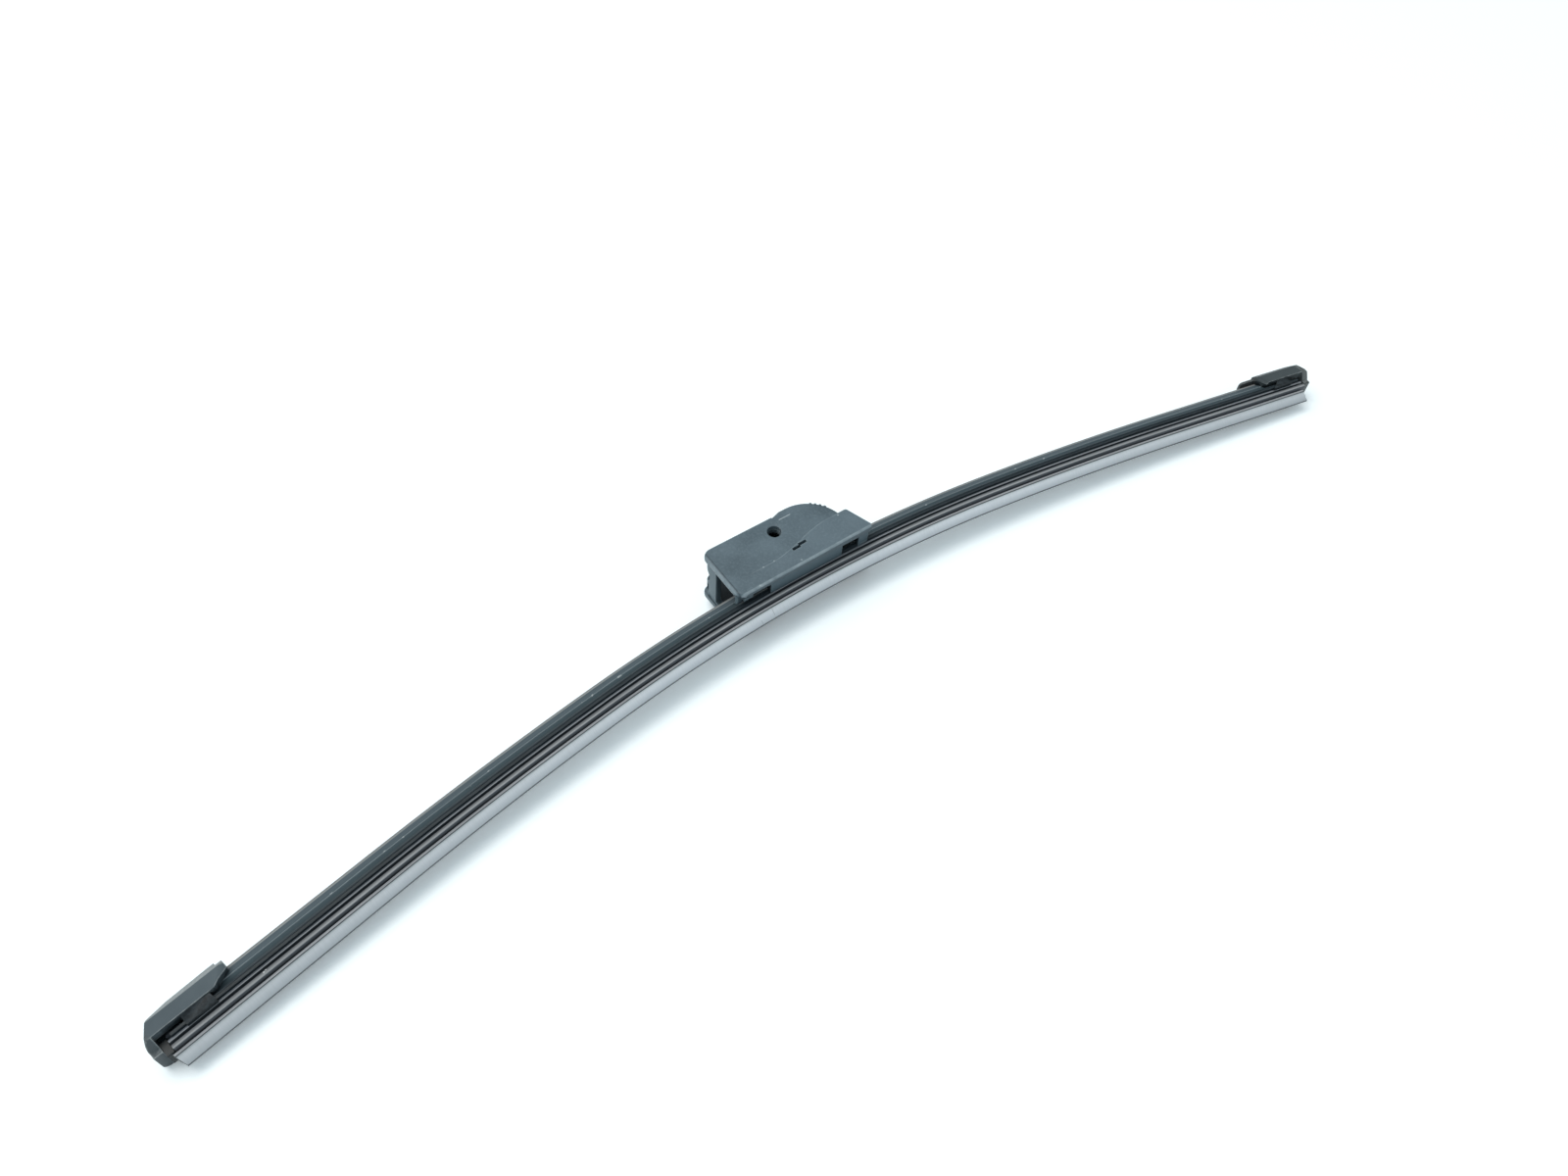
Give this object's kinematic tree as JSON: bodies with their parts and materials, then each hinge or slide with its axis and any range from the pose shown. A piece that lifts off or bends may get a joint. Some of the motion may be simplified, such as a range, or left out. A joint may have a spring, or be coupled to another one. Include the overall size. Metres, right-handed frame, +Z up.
{
  "type": "wiper blade",
  "caption": "Flat car wiper blade with bowed rubber, spring rails, a two-piece spoiler, a clip-on connector with a pin bore, and hooded end caps",
  "frame": {"origin": "On the table, under the middle of the blade's box", "axes": "+X along the blade to its right end, +Y from the wiping lip towards the connector's back, +Z up from the table that the blade lies on"},
  "size_m": [0.5086, 0.069, 0.029],
  "materials": {
    "rubber": "matte, dusty grey on the lip faces",
    "rail_steel": "black coated spring steel",
    "spoiler_plastic": "satin black extrusion",
    "base_plastic": "satin black moulding",
    "cover_plastic": "fine-grained satin black moulding",
    "cap_plastic": "satin black moulding"
  },
  "bodies": {
    "root": {"wiper_rubber": "rubber", "rail_upper": "rail_steel", "rail_lower": "rail_steel", "spoiler_left": "spoiler_plastic", "spoiler_right": "spoiler_plastic", "connector_base": "base_plastic", "connector_cover": "cover_plastic", "end_cap_left": "cap_plastic", "end_cap_right": "cap_plastic"}
  },
  "joints": []
}
